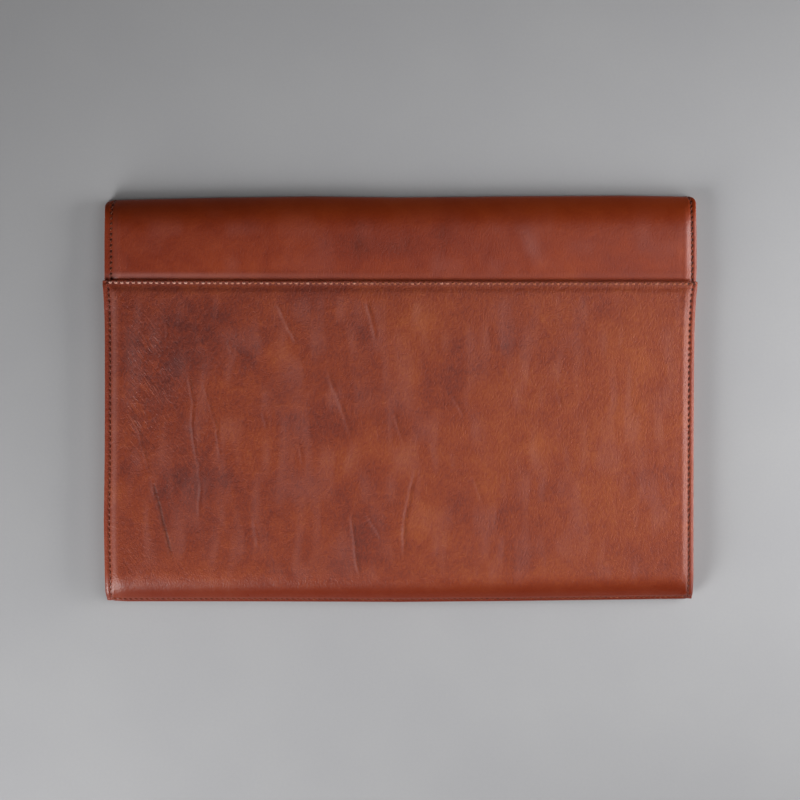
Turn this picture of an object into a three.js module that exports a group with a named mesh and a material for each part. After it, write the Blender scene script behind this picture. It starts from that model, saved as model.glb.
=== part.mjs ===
// A flat leather document case, lying on its closed flap with its back up.
// X runs across the case, Y runs from its bottom edge to its top fold, and Z is up.
// The origin is on the surface it lies on, below the middle of the case. Lengths are in millimetres.

import * as THREE from "three";

// Whole case
const caseWidth = 350;
const caseHeight = 240;
const caseDepth = 14;

// Leather, and the clearance between two pieces that lie on each other
const panelWall = 1.5;
const flapWall = 1.5;
const gap = 0.3;

// Flap: how far below the top fold each of its stations lies
const seamDrop = 49.7;
const mouthDrop = 26;
const flapDrop = 150;
const seamLap = 12.5;

// Stitched edges on both sides and at the bottom. Beyond a stitched edge the leather puffs
// up quickly and then levels off, as this power of its length.
const edgeWidth = 3.4;
const edgeRise = 9;
const puffPower = 2.2;
const edgeHeight = 12;
const stripEdgeHeight = 11;
const edgeDroop = 1.2;
const bottomEdgeHeight = 4.6;
const bottomEdgeRun = 3.6;
const bottomEdgeDrop = 3.6;
const bottomRoll = 15;

// Hem at the back panel's top edge
const hemWidth = 4.4;
const hemRise = 5;
const hemDrop = 0.6;
const lapRamp = 8;

// Top fold: a long roll down to a tight nose, which begins at a tilt in degrees. Every roll
// falls away at least as quickly as this power of its length.
const rollReach = 24;
const noseRadius = 3;
const noseTilt = 42;
const leastRoll = 1.6;
const stripSwell = 1.2;
const swellWidth = 9;
const cornerRadius = 6;

// Front panel, a little narrower than what it is stitched to, and where it leaves its edges
const frontInset = 0.6;
const frontSlope = 18;
const frontSag = 14;

// Widest spacing of the sections across the panels
const backSpacing = 14;
const plainSpacing = 36;
const lengthSpacing = 19;

// Places that follow from the sizes above
const halfWidth = caseWidth / 2;
const foldY = caseHeight / 2;
const bottomY = -caseHeight / 2;
const seamY = foldY - seamDrop;
const tailY = seamY - seamLap;
const mouthY = foldY - mouthDrop;
const flapEndY = foldY - flapDrop;
const rollStartY = foldY - rollReach;
const panelHeight = seamY - bottomY;
const baseWall = Math.max(panelWall, flapWall);
const lapStep = flapWall + gap;
const tailTop = caseDepth - hemDrop - panelWall - gap;
const stripTop = tailTop + stripSwell;

// Outline of the back panel: the reach of each side as a share of the half width, from the
// bottom edge (up 0) to the seam (up 1). The corners at the seam flare out a little.
const panelSides = [
  { up: 0, left: 0.994, right: 0.9905 },
  { up: 0.03, left: 0.999, right: 0.9925 },
  { up: 0.07, left: 1, right: 0.9935 },
  { up: 0.25, left: 1.0045, right: 0.9935 },
  { up: 0.45, left: 1.0015, right: 0.994 },
  { up: 0.65, left: 1, right: 0.995 },
  { up: 0.85, left: 1, right: 0.9975 },
  { up: 0.94, left: 1.0025, right: 1.0015 },
  { up: 1, left: 1.007, right: 1.0075 },
];

// Outline of the flap: the same shares along its leather, from the end of the tail, up the
// strip above the seam and over the fold to its free edge on the front.
const flapSides = [
  { station: "tail", left: 0.996, right: 0.996 },
  { station: "seam", left: 1.001, right: 1.0035 },
  { station: "strip", left: 1.001, right: 1.005 },
  { station: "roll", left: 1.001, right: 1.005 },
  { station: "fold", left: 0.9985, right: 1.0015 },
  { station: "front", left: 0.997, right: 0.997 },
];

// Edges that aren't quite straight across: the offset of each from its nominal line, as a
// share of the case's height, from the left side (across -1) to the right side (across 1).
const crossEdges = [
  { across: -1, fold: -0.011, seam: 0.0027, bottom: 0.003 },
  { across: -0.93, fold: -0.0085, seam: 0.0025, bottom: 0 },
  { across: -0.6, fold: -0.003, seam: 0.0015, bottom: 0 },
  { across: -0.3, fold: 0, seam: 0.0008, bottom: -0.0005 },
  { across: 0, fold: -0.0028, seam: 0, bottom: -0.0015 },
  { across: 0.4, fold: 0, seam: -0.0012, bottom: 0.001 },
  { across: 0.75, fold: 0.002, seam: -0.002, bottom: 0.0045 },
  { across: 1, fold: -0.001, seam: -0.0027, bottom: 0.007 },
];

// Soft folds worn into the back panel. Places are shares of the half width and of the
// panel's height, and depths and widths are shares of the leather's wall.
const wornFolds = [
  { fromAcross: -0.88, fromUp: 0.53, toAcross: -0.834, toUp: 0.38, depth: 0.22, width: 4 },
  { fromAcross: -0.834, fromUp: 0.38, toAcross: -0.763, toUp: 0.12, depth: 0.34, width: 4 },
  { fromAcross: -0.716, fromUp: 0.72, toAcross: -0.68, toUp: 0.4, depth: 0.3, width: 4 },
  { fromAcross: -0.68, fromUp: 0.4, toAcross: -0.672, toUp: 0.2, depth: 0.2, width: 4 },
  { fromAcross: -0.41, fromUp: 0.86, toAcross: -0.34, toUp: 0.74, depth: 0.2, width: 4 },
  { fromAcross: -0.16, fromUp: 0.3, toAcross: -0.127, toUp: 0.13, depth: 0.2, width: 4 },
  { fromAcross: -0.25, fromUp: 0.74, toAcross: -0.154, toUp: 0.5, depth: 0.14, width: 5 },
];

// Value of one column of a table at a place along it, on straight lines between its rows
function tableValue(rows, place, column, key) {
  const last = rows.length - 1;
  if (place <= rows[0][key]) return rows[0][column];
  if (place >= rows[last][key]) return rows[last][column];
  const next = rows.findIndex((row) => row[key] >= place);
  const low = rows[next - 1];
  const high = rows[next];
  const share = (place - low[key]) / (high[key] - low[key]);
  return THREE.MathUtils.lerp(low[column], high[column], share);
}

// Smooth step from 0 at start to 1 at start + width
function ease(value, start, width) {
  return THREE.MathUtils.smoothstep(value, start, start + width);
}

// Quick rise from 0 at start that levels off at 1 at start + width
function puff(value, start, width) {
  const share = THREE.MathUtils.clamp((value - start) / width, 0, 1);
  return 1 - Math.pow(1 - share, puffPower);
}

// Places from the side edge inwards where the leather bends, then even steps to the middle
function acrossShares(spacing) {
  const bendSteps = [0, 0.34, 0.68, 1].map((share) => share * edgeWidth);
  const riseSteps = [0.12, 0.28, 0.5, 0.75, 1].map((share) => edgeWidth + share * edgeRise);
  const slopeSteps = [0.65, 1].map((share) => edgeWidth + share * frontSlope);
  const nearEdge = [...bendSteps, ...riseSteps, ...slopeSteps];
  const inner = halfWidth - nearEdge[nearEdge.length - 1];
  const count = Math.ceil((2 * inner) / spacing);
  const middle = [];
  for (let step = 1; step < count; step += 1) {
    middle.push(-inner + (2 * inner * step) / count);
  }
  const left = nearEdge.map((distance) => distance - halfWidth);
  const right = nearEdge.map((distance) => halfWidth - distance).reverse();
  return [...left, ...middle, ...right].map((x) => x / halfWidth);
}

// Offset of a cross edge from its nominal line at a share across
function edgeShift(across, edge) {
  return tableValue(crossEdges, across, edge, "across") * caseHeight;
}

// Distance to the nearer side edge at a share across
function fromSide(across) {
  return halfWidth * (1 - Math.abs(across));
}

// Slack of the stitched side edge, which hangs lower towards its outer rim
function sideDroop(across) {
  const share = Math.max(0, 1 - fromSide(across) / edgeWidth);
  return edgeDroop * share * share;
}

// Height of the back over its bottom edge: a tilted flange, then a roll up to the flat level
function bottomProfile(fromBottom, level) {
  const flangeTop = bottomEdgeHeight + bottomEdgeDrop;
  if (fromBottom <= bottomEdgeRun) {
    return bottomEdgeHeight + (fromBottom / bottomEdgeRun) * bottomEdgeDrop;
  }
  const share = Math.min(1, (fromBottom - bottomEdgeRun) / bottomRoll);
  const steepness = bottomRoll / (caseDepth - flangeTop);
  return flangeTop + (level - flangeTop) * (1 - Math.pow(1 - share, Math.max(leastRoll, steepness)));
}

// Height of the base layer along the stitched sides, which steps down to the flap's strip
function edgeLevel(nominalY) {
  const toStrip = ease(nominalY, tailY - lapRamp, lapRamp);
  const level = THREE.MathUtils.lerp(edgeHeight, stripEdgeHeight, toStrip);
  return bottomProfile(nominalY - bottomY, level);
}

// Reach of a side of the back panel as a share of the half width
function backReach(across, nominalY) {
  const side = across < 0 ? "left" : "right";
  return tableValue(panelSides, (nominalY - bottomY) / panelHeight, side, "up");
}

// Reach of a side of the front panel, inside both the back panel and the flap's strip
function frontReach(across, nominalY) {
  const side = across < 0 ? "left" : "right";
  const strip = flapReach("strip", "strip", 0, side);
  return Math.min(backReach(across, nominalY), strip) - frontInset / halfWidth;
}

// Point of a panel from a share across and a nominal Y, at a height and with a reach
function panelPoint(across, nominalY, height, reach) {
  const up = (nominalY - bottomY) / panelHeight;
  const topShift = edgeShift(across, "seam");
  const lowShift = edgeShift(across, "bottom");
  const shift = THREE.MathUtils.lerp(lowShift, topShift, THREE.MathUtils.clamp(up, 0, 1));
  return new THREE.Vector3(across * halfWidth * reach, nominalY + shift, height);
}

// Depth of the worn folds at a place on the back panel
function foldDepth(across, nominalY) {
  const place = new THREE.Vector3(across * halfWidth, nominalY, 0);
  const calm = ease(seamY - nominalY, seamLap + lapRamp, seamLap);
  let depth = 0;
  for (const fold of wornFolds) {
    const start = new THREE.Vector3(fold.fromAcross * halfWidth, bottomY + fold.fromUp * panelHeight, 0);
    const end = new THREE.Vector3(fold.toAcross * halfWidth, bottomY + fold.toUp * panelHeight, 0);
    const nearest = new THREE.Line3(start, end).closestPointToPoint(place, true, new THREE.Vector3());
    const share = nearest.distanceTo(place) / (fold.width * panelWall);
    depth += fold.depth * panelWall * Math.exp(-share * share);
  }
  return depth * calm;
}

// Outer face of the back panel
function backPoint(across, nominalY) {
  const hem = 1 - ease(seamY - nominalY, hemWidth, hemRise);
  const lap = 1 - ease(seamY - nominalY, seamLap, lapRamp);
  const flat = bottomProfile(nominalY - bottomY, caseDepth) - hemDrop * hem - foldDepth(across, nominalY);
  const edge = edgeLevel(nominalY) + lapStep * lap - sideDroop(across);
  const height = THREE.MathUtils.lerp(edge, flat, puff(fromSide(across), edgeWidth, edgeRise));
  return panelPoint(across, nominalY, height, backReach(across, nominalY));
}

// Base layer that the front panel is stitched to: the stitched edge carried on inwards
function basePoint(across, nominalY) {
  const height = edgeLevel(nominalY) - sideDroop(across);
  return panelPoint(across, nominalY, height, frontReach(across, nominalY));
}

// Normal of a grid of points, from the neighbours on both sides
function gridNormal(grid, row, column) {
  const lastRow = grid.length - 1;
  const lastColumn = grid[0].length - 1;
  const right = grid[row][Math.min(lastColumn, column + 1)];
  const left = grid[row][Math.max(0, column - 1)];
  const ahead = grid[Math.min(lastRow, row + 1)][column];
  const behind = grid[Math.max(0, row - 1)][column];
  const across = right.clone().sub(left);
  const along = ahead.clone().sub(behind);
  return across.cross(along).normalize();
}

// Grid moved along its normals, inwards where the distance is positive
function offsetGrid(grid, distance) {
  return grid.map((points, row) =>
    points.map((point, column) => point.clone().addScaledVector(gridNormal(grid, row, column), -distance)),
  );
}

// Closed body between the outer face and the same face one wall further in
function leatherGeometry(outer, wall) {
  const inner = offsetGrid(outer, wall);
  const rows = outer.length;
  const columns = outer[0].length;
  const positions = [];
  for (const grid of [outer, inner]) {
    for (const point of grid.flat()) positions.push(point.x, point.y, point.z);
  }
  const outerIndex = (row, column) => row * columns + column;
  const innerIndex = (row, column) => rows * columns + row * columns + column;
  const faces = [];
  const addQuad = (a, b, c, d) => faces.push(a, b, c, a, c, d);
  for (let row = 0; row < rows - 1; row += 1) {
    for (let column = 0; column < columns - 1; column += 1) {
      const corners = [
        [row, column],
        [row, column + 1],
        [row + 1, column + 1],
        [row + 1, column],
      ];
      addQuad(...corners.map((corner) => outerIndex(...corner)));
      addQuad(...corners.reverse().map((corner) => innerIndex(...corner)));
    }
  }
  for (let column = 0; column < columns - 1; column += 1) {
    const low = [0, column];
    const lowNext = [0, column + 1];
    const high = [rows - 1, column];
    const highNext = [rows - 1, column + 1];
    addQuad(innerIndex(...low), innerIndex(...lowNext), outerIndex(...lowNext), outerIndex(...low));
    addQuad(outerIndex(...high), outerIndex(...highNext), innerIndex(...highNext), innerIndex(...high));
  }
  for (let row = 0; row < rows - 1; row += 1) {
    const left = [row, 0];
    const leftNext = [row + 1, 0];
    const right = [row, columns - 1];
    const rightNext = [row + 1, columns - 1];
    addQuad(outerIndex(...left), outerIndex(...leftNext), innerIndex(...leftNext), innerIndex(...left));
    addQuad(innerIndex(...right), innerIndex(...rightNext), outerIndex(...rightNext), outerIndex(...right));
  }
  const geometry = new THREE.BufferGeometry();
  geometry.setAttribute("position", new THREE.Float32BufferAttribute(positions, 3));
  geometry.setIndex(faces);
  geometry.computeVertexNormals();
  return geometry;
}

// Even steps between two places, without either end
function between(start, end, spacing) {
  const count = Math.max(1, Math.ceil(Math.abs(end - start) / spacing));
  const steps = [];
  for (let step = 1; step < count; step += 1) {
    steps.push(THREE.MathUtils.lerp(start, end, step / count));
  }
  return steps;
}

// Rows over the bottom edge that the back and the front panel share
function bottomRows() {
  const flangeRows = [0, 0.33, 0.67, 1].map((share) => bottomY + share * bottomEdgeRun);
  const rollRows = [0.13, 0.3, 0.5, 0.73, 1].map((share) => bottomY + bottomEdgeRun + share * bottomRoll);
  return [...flangeRows, ...rollRows];
}

// Rows over the seam that the back panel and the flap's tail share, from the seam downwards
function lapRows() {
  const hemRows = [0, 0.5, 1].map((share) => seamY - share * hemWidth);
  const riseRows = [0.4, 0.8].map((share) => seamY - hemWidth - share * hemRise);
  return [...hemRows, ...riseRows, tailY];
}

function backGrid() {
  const low = bottomRows();
  const rampRows = [0.33, 0.67, 1].map((share) => tailY - share * lapRamp).reverse();
  const high = [...rampRows, ...lapRows().reverse()];
  const middle = between(low[low.length - 1], high[0], lengthSpacing);
  const columns = acrossShares(backSpacing);
  return [...low, ...middle, ...high].map((y) => columns.map((across) => backPoint(across, y)));
}

// Lower face of the front panel. It lies on the flap, sags to the surface beyond the flap's
// free edge, and rises to the base layer at its three stitched edges.
function frontGrid() {
  const overFlap = flapWall + gap;
  const sagRows = [0, 0.5, 1].map((share) => flapEndY - share * frontSag);
  const low = bottomRows();
  const stepRows = [0, 0.5, 1].map((share) => tailY - share * lapRamp);
  const upper = [mouthY, ...stepRows, ...between(stepRows[2], sagRows[0], lengthSpacing * 2)];
  const middle = between(sagRows[2], low[low.length - 1], lengthSpacing);
  const rows = [...upper, ...sagRows, ...middle, ...low.reverse()];
  const columns = acrossShares(plainSpacing);
  const base = rows.map((y) => columns.map((across) => basePoint(across, y)));
  const lowered = offsetGrid(base, -(baseWall + gap + panelWall));
  return rows.map((y, row) =>
    columns.map((across, column) => {
      const level = overFlap * ease(y, flapEndY - frontSag, frontSag);
      const sideShare = ease(fromSide(across), edgeWidth, frontSlope);
      const bottomShare = ease(y - bottomY, bottomEdgeRun, bottomRoll);
      const flat = panelPoint(across, y, level, frontReach(across, y));
      return lowered[row][column].clone().lerp(flat, sideShare * bottomShare);
    }),
  );
}

// Reach of a side of the flap between two of its stations, as a share of the half width
function flapReach(station, next, share, side) {
  const from = flapSides.find((row) => row.station === station)[side];
  const to = flapSides.find((row) => row.station === next)[side];
  return THREE.MathUtils.lerp(from, to, share);
}

// One section of the flap's outer face: tail, strip, roll, nose and front
function flapSection(across, tailPoints) {
  const side = across < 0 ? "left" : "right";
  const rise = puff(fromSide(across), edgeWidth, edgeRise);
  const droop = sideDroop(across);
  const foldShift = edgeShift(across, "fold");
  const seamShift = edgeShift(across, "seam");
  const points = tailPoints.map((point) => point.clone());
  const edge = stripEdgeHeight - droop;
  const addPoint = (y, z, station, next, share) => {
    const reach = flapReach(station, next, share, side);
    points.push(new THREE.Vector3(across * halfWidth * reach, y, z));
  };
  for (const share of [0.2, 0.5, 1]) {
    const flat = THREE.MathUtils.lerp(tailTop, stripTop, puff(share, 0, 1));
    const height = THREE.MathUtils.lerp(edge, flat, rise);
    addPoint(seamY + seamShift * (1 - share) + share * swellWidth, height, "seam", "strip", share);
  }
  const top = THREE.MathUtils.lerp(edge, stripTop, rise);
  addPoint(rollStartY, top, "strip", "roll", 0.5);
  const tilt = THREE.MathUtils.degToRad(noseTilt);
  const noseY = foldY - noseRadius;
  const noseStartY = noseY + noseRadius * Math.sin(tilt);
  const noseStartZ = noseRadius * (1 + Math.cos(tilt));
  const rollDrop = top - noseStartZ;
  const steepness = (Math.tan(tilt) * (noseStartY - rollStartY)) / rollDrop;
  for (const share of [0.2, 0.36, 0.5, 0.63, 0.75, 0.87]) {
    const y = THREE.MathUtils.lerp(rollStartY, noseStartY, share) + foldShift * share;
    const z = top - rollDrop * Math.pow(share, Math.max(leastRoll, steepness));
    addPoint(y, z, "roll", "fold", share);
  }
  for (const share of [0, 0.2, 0.4, 0.6, 0.8, 1]) {
    const angle = THREE.MathUtils.lerp(tilt, Math.PI, share);
    const y = noseY + foldShift + noseRadius * Math.sin(angle);
    addPoint(y, noseRadius * (1 + Math.cos(angle)), "fold", "front", 0);
  }
  const frontStart = noseY + foldShift;
  for (const share of [0.06, 0.2, 0.4, 0.6, 0.8, 1]) {
    const y = THREE.MathUtils.lerp(frontStart, flapEndY, share);
    addPoint(y + cornerLift(across, share), 0, "fold", "front", Math.min(1, share * 4));
  }
  return points;
}

// Rounded corners at the flap's free edge
function cornerLift(across, share) {
  if (share < 1) return 0;
  const inCorner = Math.max(0, cornerRadius - fromSide(across));
  return cornerRadius - Math.sqrt(cornerRadius * cornerRadius - inCorner * inCorner);
}

// The tail keeps the clearance below the back panel, and the rest follows the sections
function flapGrid() {
  const columns = acrossShares(plainSpacing);
  const lap = lapRows().reverse();
  const above = lap.map((y) => columns.map((across) => backPoint(across, y)));
  const below = offsetGrid(above, panelWall + gap);
  const tail = below.map((points, row) =>
    points.map((point, column) => {
      const side = columns[column] < 0 ? "left" : "right";
      const share = row / (lap.length - 1);
      const reach = flapReach("tail", "seam", share, side);
      return new THREE.Vector3(columns[column] * halfWidth * reach, point.y, point.z);
    }),
  );
  const tailOf = (column) => tail.map((points) => points[column]);
  const sections = columns.map((across, column) => flapSection(across, tailOf(column)));
  return sections[0].map((_, row) => sections.map((section) => section[row]));
}

function leather(name, grid, wall, color, roughness) {
  const material = new THREE.MeshStandardMaterial({ color, roughness, metalness: 0 });
  const mesh = new THREE.Mesh(leatherGeometry(grid, wall), material);
  mesh.name = name;
  return mesh;
}

const documentCase = new THREE.Group();
documentCase.add(leather("back_panel", backGrid(), panelWall, 0x8a4a37, 0.42));
documentCase.add(leather("front_panel", frontGrid(), panelWall, 0x84452f, 0.42));
documentCase.add(leather("flap", flapGrid(), flapWall, 0x80402c, 0.36));

export default documentCase;
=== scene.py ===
import math
import bpy
import numpy as np
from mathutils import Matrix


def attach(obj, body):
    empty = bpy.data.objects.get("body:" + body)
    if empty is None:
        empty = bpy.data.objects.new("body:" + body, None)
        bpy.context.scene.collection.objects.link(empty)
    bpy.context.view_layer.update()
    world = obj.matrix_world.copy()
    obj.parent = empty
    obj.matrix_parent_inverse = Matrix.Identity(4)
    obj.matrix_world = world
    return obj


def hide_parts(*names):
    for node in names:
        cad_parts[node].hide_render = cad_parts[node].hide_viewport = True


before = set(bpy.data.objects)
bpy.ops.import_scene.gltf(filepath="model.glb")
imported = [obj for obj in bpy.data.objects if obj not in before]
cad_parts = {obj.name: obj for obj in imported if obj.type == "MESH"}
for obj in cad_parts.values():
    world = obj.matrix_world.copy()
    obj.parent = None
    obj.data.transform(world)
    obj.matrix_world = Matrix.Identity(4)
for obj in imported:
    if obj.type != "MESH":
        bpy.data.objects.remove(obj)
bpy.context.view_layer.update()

mm = 0.001  # lengths below are in millimetres, and Blender is in metres

# Form of the whole case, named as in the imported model. The hem, the strip above the seam, the
# fold's corners and the outlines differ from it by under 2 mm, to follow the photograph closely.

form = {
    "width": 350, "height": 240, "depth": 14,
    "panelWall": 1.5, "flapWall": 1.5, "gap": 0.3,
    "seamDrop": 49.7, "mouthDrop": 26, "flapDrop": 150, "seamLap": 12.5,
    "edgeWidth": 3.4, "edgeRise": 9, "puffPower": 2.2,
    "edgeHeight": 12, "stripEdgeHeight": 11, "edgeDroop": 1.2,
    "bottomEdgeHeight": 4.6, "bottomEdgeRun": 3.6, "bottomEdgeDrop": 3.6, "bottomRoll": 15,
    "hemWidth": 2.4, "hemRise": 5, "hemDrop": 0.6, "lapRamp": 8,
    "rollReach": 24, "noseRadius": 3, "noseTilt": 42, "leastRoll": 1.6,
    "stripSwell": 1.55, "swellWidth": 5.5, "stripArch": 0.8,
    "cornerRadius": 6, "cornerStart": 0.8, "foldCorner": 3.4, "foldCornerStart": 0.93,
    "frontInset": 0.6, "frontSlope": 18, "frontSag": 14,
}
halfWidth = form["width"] / 2
foldY = form["height"] / 2
bottomY = -foldY
seamY = foldY - form["seamDrop"]
tailY = seamY - form["seamLap"]
mouthY = foldY - form["mouthDrop"]
flapEndY = foldY - form["flapDrop"]
rollStartY = foldY - form["rollReach"]
panelHeight = seamY - bottomY
tailTop = form["depth"] - form["hemDrop"] - form["panelWall"] - form["gap"]
stripTop = tailTop + form["stripSwell"]
bottomSlope = math.hypot(form["bottomEdgeRun"], form["bottomEdgeDrop"]) / form["bottomEdgeRun"]

# Outlines, as shares of the half width and of the height
panelSides = {
    "up": [0, 0.03, 0.07, 0.25, 0.45, 0.65, 0.85, 0.94, 1],
    "left": [0.994, 0.998, 0.9986, 1.0022, 0.9992, 0.9986, 0.999, 1.0018, 1.007],
    "right": [0.9905, 0.992, 0.9928, 0.9927, 0.993, 0.9938, 0.9962, 1.0005, 1.0075],
}
flapSides = {  # stations of the flap: tail 0, seam 1, strip 2, roll 3, nose 4, front 5 to 6
    "station": [0, 1, 2, 3, 4, 5, 5.25],
    "left": [0.996, 1.0004, 1.0004, 1.0004, 0.9982, 0.9985, 0.997],
    "right": [0.996, 1.0023, 1.0038, 1.0038, 1.001, 1.001, 0.997],
}
crossEdges = {
    "across": [-1, -0.93, -0.6, -0.3, 0, 0.4, 0.75, 1],
    "fold": [-0.0098, -0.0072, -0.0018, 0.001, -0.0014, 0.0014, 0.003, 0],
    "seam": [-0.0003, -0.0005, -0.0015, -0.0022, -0.0026, -0.0031, -0.0034, -0.0038],
    "bottom": [0.0022, -0.0008, -0.0008, -0.0013, -0.0023, 0.0002, 0.0035, 0.006],
}

# Stitching: pitch and thread, and how far each row runs inside its edge

sewing = {
    "sidePitch": 3.54, "seamPitch": 3.43, "bottomPitch": 3.2, "stripPitch": 3.4, "hiddenPitch": 3.45,
    "sideStart": 2.0, "crossStart": 2.6, "stripStart": 1.0,  # from a row's end to its first stitch
    "thread": 0.74, "seamThread": 1.35, "start": 0.2, "dive": 0.55, "crown": 0.18,
    "leftInset": 3.6, "rightInset": 3.3, "stripLeftInset": 4.4, "stripRightInset": 3.0,
    "bottomInset": 2.3, "seamInset": 1.45, "flapEndInset": 2.6,
    "holeLength": 0.8, "holeWidth": 0.75,
    "groove": 0.36, "grooveAt": (0, 0.7), "shoulder": 0.1, "shoulderAt": (1.7, 0.8),
    "borderInside": 0.9, "borderFade": 0.8,
    # how far inside their row, and how widely, the side stitches push the leather up, and a highlight is
    # painted beside them
    "bulge": 0.42, "bulgeAt": (3.7, 1.6), "highlightAt": (2.7, 1.8),
    "leftHighlight": 0.8, "rightHighlight": 0.2, "stripLeftHighlight": 0.3, "stripRightHighlight": 0.38,
}


def ease(value, start, width):
    share = np.clip((value - start) / width, 0, 1)
    return share * share * (3 - 2 * share)


def puff(value, start, width):
    share = np.clip((value - start) / width, 0, 1)
    return 1 - (1 - share) ** form["puffPower"]


def mix(low, high, share):
    return low + (high - low) * share


def hill(value, middle, width):  # 1 at the middle, falling softly to 0 on both sides
    return np.exp(-((value - middle) / width) ** 2)


def bySide(across, left, right):
    return np.where(across < 0, sewing[left], sewing[right])


def insideRow(across, left="leftInset", right="rightInset"):  # distance inside of the side stitches
    return fromSide(across) - bySide(across, left, right)


def gridNormals(grid):
    normal = np.cross(np.gradient(grid, axis=1), np.gradient(grid, axis=0))
    return normal / np.linalg.norm(normal, axis=-1, keepdims=True)


def sideValue(table, key, place, across):
    left = np.interp(place, table[key], table["left"])
    right = np.interp(place, table[key], table["right"])
    return np.where(across < 0, left, right)


def edgeShift(across, edge):
    return np.interp(across, crossEdges["across"], crossEdges[edge]) * form["height"]


def fromSide(across):
    return halfWidth * (1 - np.abs(across))


def sideDroop(across):
    return form["edgeDroop"] * np.clip(1 - fromSide(across) / form["edgeWidth"], 0, 1) ** 2


def sideRise(across):
    return puff(fromSide(across), form["edgeWidth"], form["edgeRise"])


def bottomProfile(fromBottom, level):
    run, drop = form["bottomEdgeRun"], form["bottomEdgeDrop"]
    flangeTop = form["bottomEdgeHeight"] + drop
    flange = form["bottomEdgeHeight"] + fromBottom / run * drop
    share = np.clip((fromBottom - run) / form["bottomRoll"], 0, 1)
    power = max(form["leastRoll"], form["bottomRoll"] / (form["depth"] - flangeTop))
    return np.where(fromBottom < run, flange, flangeTop + (level - flangeTop) * (1 - (1 - share) ** power))


def edgeLevel(y):
    toStrip = ease(y, tailY - form["lapRamp"], form["lapRamp"])
    return bottomProfile(y - bottomY, mix(form["edgeHeight"], form["stripEdgeHeight"], toStrip))


def panelPoint(across, y, height, reach):
    up = np.clip((y - bottomY) / panelHeight, 0, 1)
    shift = mix(edgeShift(across, "bottom"), edgeShift(across, "seam"), up)
    return np.stack([across * halfWidth * reach, y + shift, height + 0 * y], axis=-1)


def backReach(across, y):
    return sideValue(panelSides, "up", (y - bottomY) / panelHeight, across)


def backSurface(across, y):
    hem = 1 - ease(seamY - y, form["hemWidth"], form["hemRise"])
    lap = 1 - ease(seamY - y, form["seamLap"], form["lapRamp"])
    flat = bottomProfile(y - bottomY, form["depth"]) - form["hemDrop"] * hem
    edge = edgeLevel(y) + (form["flapWall"] + form["gap"]) * lap - sideDroop(across)
    height = mix(edge, flat, sideRise(across))
    return panelPoint(across, y, height, backReach(across, y))


def frontSurface(across, y):  # rows run from the mouth down, so that its normals point down
    strip = sideValue(flapSides, "station", 2, across)
    reach = np.minimum(backReach(across, y), strip) - form["frontInset"] / halfWidth
    wall = max(form["panelWall"], form["flapWall"])
    base = panelPoint(across, y, edgeLevel(y) - sideDroop(across), reach)
    lowered = base + gridNormals(base) * (wall + form["gap"] + form["panelWall"])
    level = (form["flapWall"] + form["gap"]) * ease(y, flapEndY - form["frontSag"], form["frontSag"])
    sideShare = ease(fromSide(across), form["edgeWidth"], form["frontSlope"])
    bottomShare = ease(y - bottomY, form["bottomEdgeRun"], form["bottomRoll"])
    flat = panelPoint(across, y, level, reach)
    return mix(lowered, flat, (sideShare * bottomShare)[..., None])


def tailHeight(across, y):  # one wall and the clearance below the back panel
    step = 0.001
    ahead, behind = backSurface(across + step, y), backSurface(across - step, y)
    slope = (ahead[..., 2] - behind[..., 2]) / (ahead[..., 0] - behind[..., 0])
    drop = (form["panelWall"] + form["gap"]) * np.sqrt(1 + slope ** 2)
    return backSurface(across, y)[..., 2] - drop


def flapSurface(across, station):
    edge = form["stripEdgeHeight"] - sideDroop(across)
    rise = sideRise(across)
    foldShift, seamShift = edgeShift(across, "fold"), edgeShift(across, "seam")
    share = [np.clip(station - number, 0, 1) for number in range(6)]
    tailLine = mix(tailY, seamY, share[0])
    top = mix(edge, stripTop, rise)
    swell = mix(edge, mix(tailTop, stripTop - form["stripArch"], puff(share[1], 0, 1)), rise)
    arched = top - form["stripArch"] * rise * (1 - share[2]) ** 2
    tilt = math.radians(form["noseTilt"])
    radius = form["noseRadius"]
    noseY = foldY - radius
    noseStartY, noseStartZ = noseY + radius * math.sin(tilt), radius * (1 + math.cos(tilt))
    drop = top - noseStartZ
    power = np.maximum(form["leastRoll"], math.tan(tilt) * (noseStartY - rollStartY) / drop)
    angle = mix(tilt, math.pi, share[4])
    frontY = mix(noseY + foldShift, flapEndY, share[5])
    corner = form["cornerRadius"]
    inCorner = np.clip(corner - fromSide(across), 0, corner)
    inEnd = ease(share[5], form["cornerStart"], 1 - form["cornerStart"])
    lift = (corner - np.sqrt(corner ** 2 - inCorner ** 2)) * inEnd
    stretches = [station < end for end in range(1, 6)]
    y = np.select(
        stretches,
        [
            tailLine + seamShift,
            seamY + seamShift * (1 - share[1]) + share[1] * form["swellWidth"],
            mix(seamY + form["swellWidth"], rollStartY, share[2]),
            mix(rollStartY, noseStartY, share[3]) + foldShift * share[3],
            noseY + foldShift + radius * np.sin(angle),
        ],
        frontY + lift,
    )
    z = np.select(
        stretches,
        [
            tailHeight(across, tailLine), swell, arched,
            top - drop * share[3] ** power, radius * (1 + np.cos(angle)),
        ],
        0.0 * across,
    )
    reach = sideValue(flapSides, "station", station, across)
    bend = form["foldCorner"]
    over = np.clip(y - (foldY + foldShift - bend), 0, bend) * (station > 2.5)
    nearSide = ease(np.abs(across), form["foldCornerStart"], 1 - form["foldCornerStart"])
    pullIn = (bend - np.sqrt(bend ** 2 - over ** 2)) * nearSide
    return np.stack([across * halfWidth * reach - np.sign(across) * pullIn, y, z], axis=-1)


# Wear and stains on the back, with some painted light and shade, read off the photograph, in millimetres
# from the middle of the case

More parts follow.
